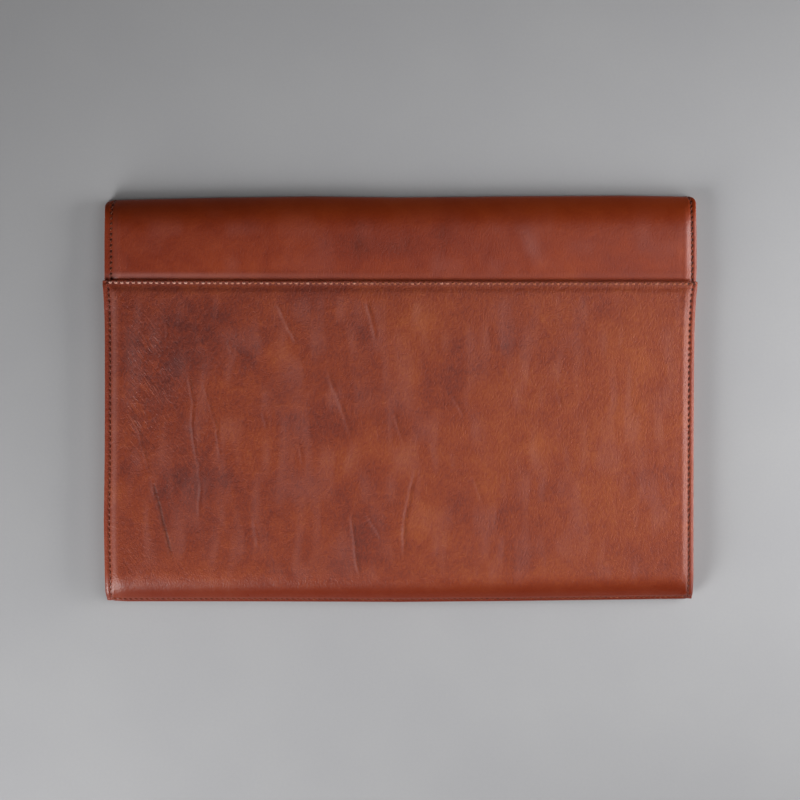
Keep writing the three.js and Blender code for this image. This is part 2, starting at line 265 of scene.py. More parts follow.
creases = [  # path of each crease, its depth, its width and how strongly a highlight is painted on its lit side
    ([(-161, -4), (-154, -19), (-146, -47)], 0.28, 0.9, 0.7),
    ([(-147, -44), (-142, -63), (-133.5, -99)], 0.6, 0.95, 0.3),
    ([(-125, 18), (-121.7, -1), (-123, -17), (-118, -42)], 0.3, 1, 0.8),
    ([(-119, -34), (-117.6, -48), (-118, -74)], 0.16, 1, 0.6),
    ([(-117, 13), (-108, -16), (-106, -39)], 0.18, 1, 0.6),
    ([(-73, 58), (-67.5, 47), (-60, 32)], 0.24, 1.1, 1),
    ([(-20, 60), (-16, 44), (-14, 32)], 0.2, 1.2, 0.7),
    ([(-28.5, -66), (-25, -97), (-22, -107)], 0.26, 1.1, 1),
    ([(10, -38), (2.5, -72), (3.5, -96)], 0.16, 1.2, 0.8),
    ([(-20.5, -66), (-10.5, -82)], 0.15, 1, 0.7),
    ([(31, 3), (39.5, -11)], 0.14, 1, 0.6),
    ([(-43.5, 20), (-27, -25)], 0.12, 1.3, 0.5),
    ([(-3.5, -6), (3, -27)], 0.12, 1.1, 0.5),
    ([(-86, -71), (-83, -88)], 0.14, 1, 0.6),
    ([(-138, 47), (-137, 34)], 0.12, 0.8, 0.4),
    ([(-102, 35), (-98.5, 27)], 0.12, 0.8, 0.5),
    ([(-81, -6), (-78, -18)], 0.12, 0.9, 0.5),
    ([(-60, -25), (-56.5, -40)], 0.1, 1, 0.5),
    ([(93, 8), (97, -6)], 0.1, 1, 0.4),
    ([(43, -44), (50, -63)], 0.1, 1.1, 0.4),
]
stainsAndShading = [  # middle, reach and tone of each stain: below 0 darker and redder, above 0 more orange; the three widest, at the end, are painted light and shade, lighter on the right and darker at the top left
    (-133, 51, 17, 8, -0.8), (-130, 25, 8, 11, -0.6), (-154, 27, 9, 13, -0.5), (-87, 30, 8, 9, -0.6),
    (-53, 61, 9, 7, -0.6), (-125, -17, 5, 10, -0.6), (-162, -43, 7, 10, -0.6), (-133, -48, 12, 10, -0.8),
    (-106, -45, 15, 10, -0.6), (-20, 37, 9, 13, -0.5), (36, 33, 12, 10, -0.5), (34, 12, 6, 8, -0.4),
    (4, -14, 7, 12, -0.5), (64, 36, 6, 9, -0.4), (11, -24, 10, 8, -0.6), (94, -51, 7, 10, -0.6),
    (66, -64, 8, 9, -0.6), (36, -60, 5, 11, -0.4), (-17, -84, 10, 14, -0.6), (73, -96, 6, 9, -0.4),
    (83, -31, 12, 10, 0.7), (14, -72, 13, 11, 0.7), (-1, -29, 11, 8, 0.6), (9, 48, 8, 6, 0.6),
    (4, 8, 8, 14, 0.5), (-38, -34, 56, 7, 0.5), (-69, 22, 8, 8, 0.5), (150, 5, 70, 90, 0.45),
    (-120, 40, 75, 45, -0.4), (-100, -40, 60, 50, -0.15),
]
wrinkleZones = [  # middle, reach and strength of the finely wrinkled stretches
    (-152, 12, 26, 52, 1.0), (-128, -20, 22, 40, 0.5), (-156, -88, 18, 20, 0.45), (-100, 30, 45, 30, 0.35),
]


def alongPath(path, x, y):  # distance to a path, signed to its right, and the share along it
    points = np.array(path, float)
    lengths = np.linalg.norm(np.diff(points, axis=0), axis=1)
    best, signed, share = np.full(x.shape, 1e9), np.zeros(x.shape), np.zeros(x.shape)
    for number, length in enumerate(lengths):
        start, step = points[number], (points[number + 1] - points[number]) / length
        along = (x - start[0]) * step[0] + (y - start[1]) * step[1]
        side = (x - start[0]) * step[1] - (y - start[1]) * step[0]
        distance = np.hypot(along - np.clip(along, 0, length), side)
        nearer = distance < best
        best = np.where(nearer, distance, best)
        signed = np.where(nearer, np.where(side < 0, -distance, distance), signed)
        share = np.where(nearer, (lengths[:number].sum() + np.clip(along, 0, length)) / lengths.sum(), share)
    return signed, share


def softNoise(x, y, size, seed):  # smooth noise of a wave size, from -1 to 1
    table = np.random.default_rng(seed).uniform(-1, 1, (64, 64))
    u, v = x / size, y / size
    i, j = np.floor(u).astype(int), np.floor(v).astype(int)
    s, t = ease(u - i, 0, 1), ease(v - j, 0, 1)
    corner = lambda a, b: table[(i + a) % 64, (j + b) % 64]
    return mix(mix(corner(0, 0), corner(1, 0), s), mix(corner(0, 1), corner(1, 1), s), t)


def noiseSum(x, y, layers):  # each layer is its height, its wave size and its seed
    return sum(height * softNoise(x, y, size, seed) for height, size, seed in layers)


def patchReach(x, y, middleX, middleY, reachX, reachY):  # 0 at a patch's middle and 1 at its reach
    return ((x - middleX) / reachX) ** 2 + ((y - middleY) / reachY) ** 2


creaseForm = {  # places and widths across a crease are in widths of that crease
    "height": 1.1, "reach": 12, "start": (0, 0.2), "end": (0.75, 0.25), "flank": 0.6, "flankAt": (-1.9, 1.3),
    "litAt": (1.0, 0.75), "shade": 2.8, "shadeAt": (-0.4, 0.8), "wander": [(0.5, 9, 40), (0.25, 3.5, 80)],
    "evenShare": 0.75, "broken": 0.35, "brokenSize": 4.5, "brokenSeed": 120,
}


def creaseRelief(x, y):
    look = creaseForm
    height, paintedLight = np.zeros(x.shape), np.zeros(x.shape)
    for number, (path, depth, width, litPaint) in enumerate(creases):
        wander = noiseSum(x, y, [(high, size, seed + number) for high, size, seed in look["wander"]])
        signed, share = alongPath(path, x + wander, y)
        fade = ease(share, *look["start"]) * (1 - ease(share, *look["end"])) * hill(signed, 0, look["reach"])
        broken = softNoise(x, y, look["brokenSize"], look["brokenSeed"] + number)
        fade = fade * (look["evenShare"] + look["broken"] * broken)
        place = signed / width
        relief = look["flank"] * hill(place, *look["flankAt"]) - hill(place, 0, 1)
        height += look["height"] * depth * fade * relief
        # painted shade in the crease's valley and painted highlight on its lit flank
        shade = look["shade"] * depth * hill(place, *look["shadeAt"])
        paintedLight += fade * (litPaint * hill(place, *look["litAt"]) - shade)
    return height, np.clip(paintedLight, -1, 1)


wrinkleForm = {
    "turn": -57, "height": 0.11, "size": 2.1, "stretch": 4.5, "seed": 7,
    "warp": [(1.3, 7, 5), (0.8, 3, 6)], "brokenSize": 6, "brokenSeed": 8, "leastShown": 0.4,
}


def wrinkleRelief(x, y):
    look = wrinkleForm
    zone = np.zeros(x.shape)
    for *patch, strength in wrinkleZones:
        zone = np.maximum(zone, strength * np.exp(-patchReach(x, y, *patch) ** 2))
    turn = math.radians(look["turn"])
    across = -x * math.sin(turn) + y * math.cos(turn) + noiseSum(x, y, look["warp"])
    along = x * math.cos(turn) + y * math.sin(turn)
    ridges = 1 - np.abs(softNoise(across, along / look["stretch"], look["size"], look["seed"])) * 2
    broken = 0.5 + 0.5 * softNoise(x, y, look["brokenSize"], look["brokenSeed"])
    return look["height"] * zone * ridges * broken, zone * mix(look["leastShown"], 1, broken)


def stainAndShadeTone(x, y):
    tone = np.zeros(x.shape)
    wandered = x + noiseSum(x, y, [(4, 9, 11)]), y + noiseSum(x, y, [(5, 11, 12)])
    for *patch, strength in stainsAndShading:
        tone += strength * np.exp(-patchReach(*wandered, *patch))
    return np.clip(tone, -1, 1)


def grooveRelief(distance):
    beside = sewing["shoulder"] * hill(np.abs(distance), *sewing["shoulderAt"])
    return beside - sewing["groove"] * hill(distance, *sewing["grooveAt"])


def borderMark(distance):  # 1 outside of a row of stitches, on the case's border
    return 1 - ease(distance, -sewing["borderInside"], sewing["borderFade"])


def nearestLine(lines):  # lines are (distance, position in stitches); keeps the nearest of them
    distance, along = lines[0]
    for otherDistance, otherAlong in lines[1:]:
        nearer = np.abs(otherDistance) < np.abs(distance)
        distance = np.where(nearer, otherDistance, distance)
        along = np.where(nearer, otherAlong, along)
    return distance, along


def pathRuns(points):  # length along a path up to each of its points
    steps = np.linalg.norm(np.diff(points, axis=0), axis=1)
    return np.hstack([0, np.cumsum(steps)])


def traceAlong(surface, across, rows):  # a path up a surface at one share across, with its normals
    width = np.tile([across - 0.002, across, across + 0.002], (len(rows), 1))
    grid = surface(width, np.repeat(np.array(rows)[:, None], 3, axis=1))
    return grid[:, 1], gridNormals(grid)[:, 1]


def traceAcross(surface, columns, row, step):  # a path across a surface at one row
    grid = surface(np.tile(columns, (3, 1)), np.array([row - step, row, row + step])[:, None] + 0 * columns)
    return grid[1], gridNormals(grid)[1]


def sideTraces(surface, rows, left, right):  # the paths of the two rows of stitches along the sides
    places = (-1 + sewing[left] / halfWidth, 1 - sewing[right] / halfWidth)
    return [traceAlong(surface, place, rows) for place in places]


backRows = np.linspace(bottomY + 1, seamY - 0.5, 900)
backColumns = np.linspace(-0.995, 0.995, 1200)
bottomStitchY = bottomY + sewing["bottomInset"] / bottomSlope
seamTrace = traceAcross(backSurface, backColumns, seamY - sewing["seamInset"], 0.2)
bottomTrace = traceAcross(backSurface, backColumns, bottomStitchY, 0.1)
sideRuns = pathRuns(traceAlong(backSurface, -0.98, backRows)[0])
seamRuns, bottomRuns = pathRuns(seamTrace[0]), pathRuns(bottomTrace[0])


def stitchCount(place, places, runs, start, pitch):  # how many stitches along its row a place is
    return (np.interp(place, places, runs) - sewing[start]) / sewing[pitch]


def backLines(across, y):
    fromBottom = (y - bottomY) * bottomSlope
    return nearestLine([
        (insideRow(across), stitchCount(y, backRows, sideRuns, "sideStart", "sidePitch")),
        (seamY - y - sewing["seamInset"],
         stitchCount(across, backColumns, seamRuns, "crossStart", "seamPitch")),
        (fromBottom - sewing["bottomInset"],
         stitchCount(across, backColumns, bottomRuns, "crossStart", "bottomPitch")),
    ])


backMarks = {  # each pair is a start and a width for a fade, or a middle and a width for a hill
    "calmSide": (6, 12), "calmBottom": (6, 14), "calmSeam": (5, 8), "endBottom": (9, 12), "endSeam": (2, 5),
    "broad": [(0.22, 46, 1), (0.1, 19, 2), (0.04, 8, 3)],
    "hemAt": 4.0, "hemAbove": 1.2, "hemBelow": 4.0, "hemClear": 1.2,
    "hemAcross": [-1, -0.5, 0.3, 1], "hemShade": [0.45, 0.3, 0.12, 0.1],
    "paintedSheen": 0.35, "paintedSheenSize": 5, "paintedSheenStretch": 3.5, "paintedSheenWarp": (2, 14, 14), "paintedSheenSeed": 13,
    "seamRowAt": (1.7, 1.5), "seamRowHighlight": 0.6, "seamRowFlat": 0.6, "seamRowEnd": (4.5, 1.5),
    "edgeBand": (5.2, 12.5), "cornerAt": (4, 6), "cornerLess": 0.25,
    "holesLeft": (0.35, 0.8), "holesRight": (0.6, 1.0),  # at the bottom and at the seam
    "holesSeam": (0.12, 0.05), "holesBottom": 0.12, "holesSide": (5.5, 2),
}


def backHoles(across, y):  # how far the needle holes show, as painted shade and as dents: least along the bottom and the right of the seam
    look = backMarks
    up = np.clip((y - bottomY) / panelHeight, 0, 1)
    side = np.where(across < 0, mix(*look["holesLeft"], up), mix(*look["holesRight"], up))
    cross = np.where(up > 0.5, mix(*look["holesSeam"], (across + 1) / 2), look["holesBottom"])
    return mix(side, cross, ease(fromSide(across), *look["holesSide"]))


def backDetail(across, y):
    look = backMarks
    x, side = across * halfWidth, fromSide(across)
    fromBottom, fromSeam = y - bottomY, seamY - y
    distance, along = backLines(across, y)
    calm = ease(side, *look["calmSide"]) * ease(fromBottom, *look["calmBottom"])
    calm = calm * ease(fromSeam, *look["calmSeam"])
    creaseHeight, paintedLight = creaseRelief(x, y)
    wrinkles, zone = wrinkleRelief(x, y)
    ends = ease(fromBottom, *look["endBottom"]) * ease(fromSeam, *look["endSeam"])
    inside = insideRow(across)
    # painted highlight just inside the side stitches
    edgeHighlight = bySide(across, "leftHighlight", "rightHighlight") * hill(inside, *sewing["highlightAt"]) * ends
    hemWidth = np.where(fromSeam < look["hemAt"], look["hemAbove"], look["hemBelow"])
    hemShade = hill(fromSeam, look["hemAt"], hemWidth) * (distance > look["hemClear"])
    hemShade = hemShade * np.interp(across, look["hemAcross"], look["hemShade"])
    corner = hill(side, *look["cornerAt"]) * (across < 0)
    # pale patches of painted sheen
    warped = x + noiseSum(x, y, [look["paintedSheenWarp"]])
    paintedSheen = softNoise(warped, y / look["paintedSheenStretch"], look["paintedSheenSize"], look["paintedSheenSeed"])
    paintedSheen = look["paintedSheen"] * calm * np.clip(paintedSheen, 0, 1)
    # painted highlight along the seam's row of stitches, where the leather is also flattened
    seamRow = hill(fromSeam, *look["seamRowAt"]) * ease(side, *look["seamRowEnd"])
    groove = grooveRelief(distance) * (1 - look["seamRowFlat"] * seamRow)
    raised = creaseHeight + wrinkles + noiseSum(x, y, look["broad"])
    return groove + sewing["bulge"] * hill(inside, *sewing["bulgeAt"]) * ends + calm * raised, {
        "stitchAcross": distance, "stitchAlong": along, "holes": backHoles(across, y),
        "stainAndShade": stainAndShadeTone(x, y), "wrinkle": zone * calm, "border": borderMark(distance),
        "paintedLight": paintedLight * calm + edgeHighlight + paintedSheen + look["seamRowHighlight"] * seamRow - hemShade,
        # darker, smoother and glossier towards the bottom edge, a little less at the left corner
        "edgeBand": (1 - ease(fromBottom, *look["edgeBand"])) * (1 - look["cornerLess"] * corner),
    }


frontMarks = {"stainAndShade": (0.4, 30, 21), "edgeBand": (4, 12.5), "holes": 0.5}


def frontDetail(across, y):
    look, pitch = frontMarks, sewing["hiddenPitch"]
    fromBottom = (y - bottomY) * bottomSlope
    distance, along = nearestLine([
        (insideRow(across), (y - bottomY) / pitch),
        (fromBottom - sewing["bottomInset"], (across + 1) * halfWidth / pitch),
    ])
    blank = np.zeros(across.shape)
    return grooveRelief(distance), {
        "stitchAcross": distance, "stitchAlong": along, "holes": look["holes"] + blank,
        "stainAndShade": noiseSum(across * halfWidth, y, [look["stainAndShade"]]), "paintedLight": blank, "wrinkle": blank,
        # darker towards the bottom edge
        "border": borderMark(distance), "edgeBand": 1 - ease(y - bottomY, *look["edgeBand"]),
    }


frontRun = foldY - form["noseRadius"] - flapEndY  # length of the flap on the front
# length of leather from the tail's end up to each of these stations, near the right side
flapKnots = np.linspace(0, 6, 1201)
flapRuns = pathRuns(flapSurface(np.full((1201, 1), 0.97), flapKnots[:, None])[:, 0])
stripStation = 1.02  # where the strip's side stitches start


def flapLines(across, station, run):
    stripRun = run - (np.interp(stripStation, flapKnots, flapRuns) + sewing["stripStart"])
    inside = insideRow(across, "stripLeftInset", "stripRightInset")
    endAlong = (across + 1) * halfWidth / sewing["hiddenPitch"]
    return nearestLine([
        (inside, stripRun / sewing["stripPitch"]),
        (flapRuns[-1] - run - sewing["flapEndInset"], endAlong),
    ])


flapMarks = {
    "lyingFrom": 4.9,  # beyond this station the leather rests flat and keeps its face below the grooves
    "sideFrom": (1, 0.3), "nose": (3.2, 0.8), "calmSide": (6, 10), "calmSeam": (14, 6),
    "seamHighlightAcross": [-1, -0.8, -0.4, 0, 1], "seamHighlight": [1.2, 1.1, 0.45, 0.15, 0.12],
    "seamHighlightAt": (3.2, 1.7),
    "seamDip": 0.3, "seamDipAt": (0, 1.3), "broad": [(0.16, 38, 31), (0.05, 15, 32)],
    "bend": [(63, 107.5), (71, 92), (80, 74)], "bendStart": (0, 0.25), "bendEnd": (0.8, 0.2),
    # the bend's height, its ridge and valley, and the painted highlight on its lit side
    "bendHeight": 0.2, "bendTop": (-3, 4.5), "bendLow": (4, 5), "bendHighlight": 0.18, "bendLit": (-4, 5),
    "shaded": 0.35, "shadedAt": (5, 95), "shadedStart": (2.1, 0.7), "shadedEnd": (3.3, 0.5),
    "paintedSheen": 0.25, "paintedSheenSize": 11, "paintedSheenSeed": 34, "stainAndShade": (0.5, 34, 33), "darker": 0.1,
    # the roll and the fold are tinted more orange, smoother and glossier
    "edgeBand": 0.5, "edgeBandStart": (3.0, 0.9),
}


def flapDetail(across, station):
    look = flapMarks
    x, blank = across * halfWidth, np.zeros(across.shape)
    run = np.interp(station, flapKnots, flapRuns)  # length of leather from the tail's end
    distance, along = flapLines(across, station, run)
    fromSeam = run - form["seamLap"]
    beforeNose = 1 - ease(station, *look["nose"])
    inside = insideRow(across, "stripLeftInset", "stripRightInset")
    ends = ease(station, *look["sideFrom"]) * beforeNose
    # painted highlight just inside the strip's side stitches
    edgeHighlight = bySide(across, "stripLeftHighlight", "stripRightHighlight") * hill(inside, *sewing["highlightAt"]) * ends
    # painted highlight in a band just above the seam, strongest on the left
    seamHighlight = np.interp(across, look["seamHighlightAcross"], look["seamHighlight"])
    edgeHighlight = edgeHighlight + seamHighlight * hill(fromSeam, *look["seamHighlightAt"])
    dip = look["seamDip"] * hill(fromSeam, *look["seamDipAt"])
    calm = ease(fromSide(across), *look["calmSide"]) * ease(run, *look["calmSeam"]) * beforeNose
    signed, share = alongPath(look["bend"], x, fromSeam + seamY)
    bend = ease(share, *look["bendStart"]) * (1 - ease(share, *look["bendEnd"]))
    streak = bend * (hill(signed, *look["bendTop"]) - hill(signed, *look["bendLow"]))
    shaded = ease(station, *look["shadedStart"]) * (1 - ease(station, *look["shadedEnd"]))
    shaded = look["shaded"] * hill(x, *look["shadedAt"]) * shaded
    # pale patches of painted sheen, and a painted highlight on the lit side of the bend
    paintedSheen = look["paintedSheen"] * np.clip(softNoise(x, run, look["paintedSheenSize"], look["paintedSheenSeed"]), 0, 1)
    paintedSheen = paintedSheen + look["bendHighlight"] * bend * hill(signed, *look["bendLit"])
    groove = grooveRelief(distance)
    standing = groove + sewing["bulge"] * hill(inside, *sewing["bulgeAt"]) * ends - dip
    raised = noiseSum(x, run, look["broad"]) + look["bendHeight"] * streak
    height = np.where(station > look["lyingFrom"], np.minimum(groove, 0), standing) + calm * raised
    return height, {
        "stitchAcross": distance, "stitchAlong": along, "holes": blank + 1, "wrinkle": blank,
        "stainAndShade": noiseSum(x, run, [look["stainAndShade"]]) - look["darker"] - shaded,
        "paintedLight": calm * paintedSheen + edgeHighlight, "border": borderMark(distance),
        "edgeBand": look["edgeBand"] * ease(station, *look["edgeBandStart"]),
    }


# Leather sheets as closed bodies

sheetMesh = {"fineBand": 11, "rimSteps": 5, "innerStride": 4, "dropFrom": 6, "farAway": 50.0}


def addObject(name, data):
    thing = bpy.data.objects.new(name, data)
    bpy.context.scene.collection.objects.link(thing)
    return thing


def addPiece(name, vertices, faces, marks):  # vertices in millimetres, and marks for the materials
    mesh = bpy.data.meshes.new(name)
    mesh.from_pydata((vertices * mm).tolist(), [], faces)
    mesh.shade_smooth()
    for key, values in marks.items():
        mesh.attributes.new(key, "FLOAT", "POINT").data.foreach_set("value", values)
    print(name, "faces", len(mesh.polygons))
    return addObject(name, mesh)


def spreads(stops, steps):  # places from the first stop to the last, each stretch with its own step
    places = []
    for start, end, step in zip(stops, stops[1:], steps):
        count = max(1, math.ceil(abs(end - start) / step))
        places += list(np.linspace(start, end, count + 1)[:-1])
    places.append(stops[-1])
    # a few are left out, so that the coarser inner face ends on the last one too
    extra, dropFrom = (len(places) - 1) % sheetMesh["innerStride"], sheetMesh["dropFrom"]
    return np.array(places[:dropFrom] + places[dropFrom + extra:])


def perimeter(rows, columns, stride=1):
    bottom = [(0, c) for c in range(0, columns - 1, stride)]
    right = [(r, columns - 1) for r in range(0, rows - 1, stride)]
    top = [(rows - 1, c) for c in range(columns - 1, 0, -stride)]
    left = [(r, 0) for r in range(rows - 1, 0, -stride)]
    return bottom + right + top + left


def outwards(base, normals, loop):  # direction out of the sheet at each point of its edge
    rows, columns = base.shape[:2]
    result = []
    for r, c in loop:
        direction = np.zeros(3)
        if c in (0, columns - 1):
            direction += base[r, c] - base[r, 1 if c == 0 else columns - 2]
        if r in (0, rows - 1):
            step = base[r, c] - base[1 if r == 0 else rows - 2, c]
            size = np.linalg.norm(direction)
            direction += step / np.linalg.norm(step) * (size if size else 1)
        direction -= normals[r, c] * direction.dot(normals[r, c])
        result.append(direction / np.linalg.norm(direction))
    return np.array(result)


def gridFaces(index, order):  # a face between each four neighbours of a grid of points
    corners = [index[:-1, :-1], index[:-1, 1:], index[1:, 1:], index[1:, :-1]]
    return np.stack([corners[k] for k in order], axis=-1).reshape(-1, 4).tolist()


def tubeFaces(rings):
    return gridFaces(np.hstack([rings, rings[:, :1]]), (1, 0, 3, 2))


def leatherSheet(name, look):
    band, stride, radius = sheetMesh["fineBand"], sheetMesh["innerStride"], look["wall"] / 2
    sideStops = [radius, band, 2 * halfWidth - band, 2 * halfWidth - radius]
    columns = spreads(sideStops, [look["edgeStep"], look["acrossStep"], look["edgeStep"]]) / halfWidth - 1
    across, along = np.meshgrid(columns, spreads(look["stops"], look["steps"]))
    base = look["surface"](across, along)
    normals = gridNormals(base)
    height, marks = look["detail"](across, along)
    inner = (base - normals * look["wall"])[::stride, ::stride]
    loop = perimeter(*across.shape)
    picks = tuple(np.array(loop).T)
    up, out = normals[picks], outwards(base, normals, loop)
    angles = np.linspace(0, math.pi, sheetMesh["rimSteps"] + 2)[1:-1]
    points = [(base + normals * height[..., None]).reshape(-1, 3)]
    for angle in angles:
        rim = base[picks] - up * radius + radius * (up * math.cos(angle) + out * math.sin(angle))
        points.append(rim + up * (height[picks] * (1 + math.cos(angle)) / 2)[:, None])
    points.append(inner.reshape(-1, 3))
    counts = [across.size, len(loop) * len(angles), len(points[-1])]
    outerIndex = np.arange(counts[0]).reshape(across.shape)
    rings = counts[0] + np.arange(counts[1]).reshape(len(angles), -1)
    rings = np.vstack([outerIndex[picks], rings])
    innerIndex = counts[0] + counts[1] + np.arange(counts[2]).reshape(inner.shape[:2])
    faces = gridFaces(outerIndex, (0, 1, 2, 3)) + tubeFaces(rings)
    innerLoop = [int(innerIndex[r // stride, c // stride]) for r, c in perimeter(*across.shape, stride)]
    for k, corner in enumerate(innerLoop):
        span = [int(rings[-1, (k * stride + step) % len(loop)]) for step in range(stride, -1, -1)]
        faces.append((*span, corner, innerLoop[(k + 1) % len(innerLoop)]))
    faces += gridFaces(innerIndex, (0, 3, 2, 1))
    nothing, inside = np.zeros(counts[0]), np.zeros(counts[2])
    whole = {"rim": np.hstack([nothing, np.repeat(np.sin(angles), len(loop)), inside])}
    whole["fleshSide"] = np.repeat([0.0, 0.0, 1.0], counts)
    for key, values in marks.items():
        away = sheetMesh["farAway"] if key == "stitchAcross" else 0
        whole[key] = np.hstack([values.ravel(), np.tile(values[picks], len(angles)), inside + away])
    return addPiece(name, np.vstack(points), faces, whole)


threadShape = {  # along one stitch, from end to end: its spine's rise and its thickness
    "share": np.array([0, 0.1, 0.26, 0.5, 0.74, 0.9, 1]),
    "bow": np.array([-1, -0.55, -0.1, 0, -0.1, -0.55, -1]),
    "girth": np.array([0.8, 0.95, 1, 1, 1, 0.95, 0.8]),
    "sides": 6, "leastRoom": 0.9, "slantSpread": 0.25, "leanSpread": 0.04, "toneSpread": 0.07,
}


def addStitches(piece, row, random):  # one short closed tube for each stitch on the row's paths
    vertices, faces, tones = piece
    look, pitch, radius = threadShape, sewing[row["pitch"]], sewing[row.get("thread", "thread")] / 2
    sides, knots = look["sides"], len(look["share"])
    share = mix(sewing["start"], 1 - sewing["start"], look["share"])
    rise = sewing["crown"] + look["bow"] * (sewing["dive"] + sewing["crown"])
    turns = np.arange(sides)[:, None] / sides * 2 * math.pi
    for points, normals, start, end in row["lines"]:
        lengths = pathRuns(points)
        last = lengths[-1] + end - pitch * look["leastRoom"]
        for first in np.arange(start, last, pitch):
            place = first + share * pitch
            spine = np.stack([np.interp(place, lengths, points[:, k]) for k in range(3)], axis=1)
            up = np.stack([np.interp(place, lengths, normals[:, k]) for k in range(3)], axis=1)
            ahead = spine[-1] - spine[0]
            beside = np.cross(ahead / np.linalg.norm(ahead), up[knots // 2])
            slant = row["slant"] * (1 + look["slantSpread"] * random.standard_normal())
            lean = look["leanSpread"] * random.standard_normal()
            spine = spine + up * (row["lift"] + rise)[:, None]
            spine = spine + beside * (slant * pitch * (share - 0.5) + lean)[:, None]
            offsets = beside * np.cos(turns) + up[:, None] * np.sin(turns)
            rings = len(vertices) + np.arange(knots * sides).reshape(knots, sides)
            tube = spine[:, None] + radius * look["girth"][:, None, None] * offsets
            vertices += list(tube.reshape(-1, 3))
            faces += tubeFaces(rings) + [rings[0].tolist(), rings[-1, ::-1].tolist()]
            tone = np.interp(first / lengths[-1], np.linspace(0, 1, len(row["tone"])), row["tone"])
            tones += [tone + look["toneSpread"] * random.standard_normal()] * (knots * sides)


def threadPiece(name, rows):
    vertices, faces, tones = [], [], []
    for number, row in enumerate(rows):
        addStitches((vertices, faces, tones), row, np.random.default_rng(100 + number))
    return addPiece(name, np.array(vertices), faces, {"threadLightAndShade": np.array(tones, float)})


# Materials


def linear(hexColour):
    parts = [int(hexColour[k:k + 2], 16) / 255 for k in (1, 3, 5)]
    return [p / 12.92 if p <= 0.04045 else ((p + 0.055) / 1.055) ** 2.4 for p in parts] + [1.0]


def addNode(tree, kind, values=None, links=None, **settings):
    node = tree.nodes.new("ShaderNode" + kind)
    for name, value in settings.items():
        setattr(node, name, value)
    for socket, value in (values or {}).items():
        node.inputs[socket].default_value = value
    for socket, source in (links or {}).items():
        tree.links.new(source, node.inputs[socket])
    return node


def sortInputs(inputs):  # numbers and colours are set on their sockets, and the rest is linked
    values = {key: value for key, value in inputs.items() if isinstance(value, (int, float, list))}
    return values, {key: value for key, value in inputs.items() if key not in values}


def maths(tree, operation, *inputs):
    values, links = sortInputs(dict(enumerate(inputs)))
    return addNode(tree, "Math", values, links, operation=operation).outputs[0]


def blend(tree, share, first, second):
    values, links = sortInputs({0: share, 6: first, 7: second})
    return addNode(tree, "Mix", values, links, data_type="RGBA").outputs[2]


def layered(tree, start, layers):  # adds each layer's source times its amount
    for source, amount in layers:
        start = maths(tree, "MULTIPLY_ADD", source, amount, start)
    return start


def centred(tree, noise):
    return maths(tree, "SUBTRACT", noise, 0.5)


def noiseOf(tree, place, size, detail, roughness=0.5, distortion=0.0):
    values = {"Scale": 1 / size, "Detail": detail, "Roughness": roughness, "Distortion": distortion}
    return addNode(tree, "TexNoise", values, {"Vector": place}).outputs[0]


def stretchedNoise(tree, place, width, length, turn, detail, roughness):
    turned = {"Rotation": (0, 0, math.radians(turn))}
    place = addNode(tree, "Mapping", turned, {"Vector": place}, vector_type="POINT").outputs[0]
    scale = {1: (1 / width, 1 / length, 1 / width)}
    place = addNode(tree, "VectorMath", scale, {0: place}, operation="MULTIPLY").outputs[0]
    return noiseOf(tree, place, 1, detail, roughness)


def rampOf(tree, share, stops, look):
    ramp = addNode(tree, "ValToRGB", links={"Fac": share})
    colours = ramp.color_ramp.elements
    while len(colours) < len(stops):
        colours.new(0.5)
    for element, (position, key) in zip(colours, stops):
        element.position, element.color = position, linear(look[key])
    return ramp.outputs[0]


def newMaterial(name):
    material = bpy.data.materials.new(name)
    material.use_nodes = True
    tree = material.node_tree
    tree.nodes.clear()
    shader = addNode(tree, "BsdfPrincipled")
    addNode(tree, "OutputMaterial", links={"Surface": shader.outputs[0]})
    return material, tree, shader


def setShader(tree, shader, inputs):
    values, links = sortInputs(inputs)
    for socket, value in values.items():
        shader.inputs[socket].default_value = value
    for socket, source in links.items():
        tree.links.new(source, shader.inputs[socket])


def placeInMm(tree):
    place = addNode(tree, "TexCoord").outputs["Object"]
    return addNode(tree, "VectorMath", {3: 1 / mm}, {0: place}, operation="SCALE").outputs[0]


def mark(tree, name):
    return addNode(tree, "Attribute", attribute_name=name).outputs["Fac"]


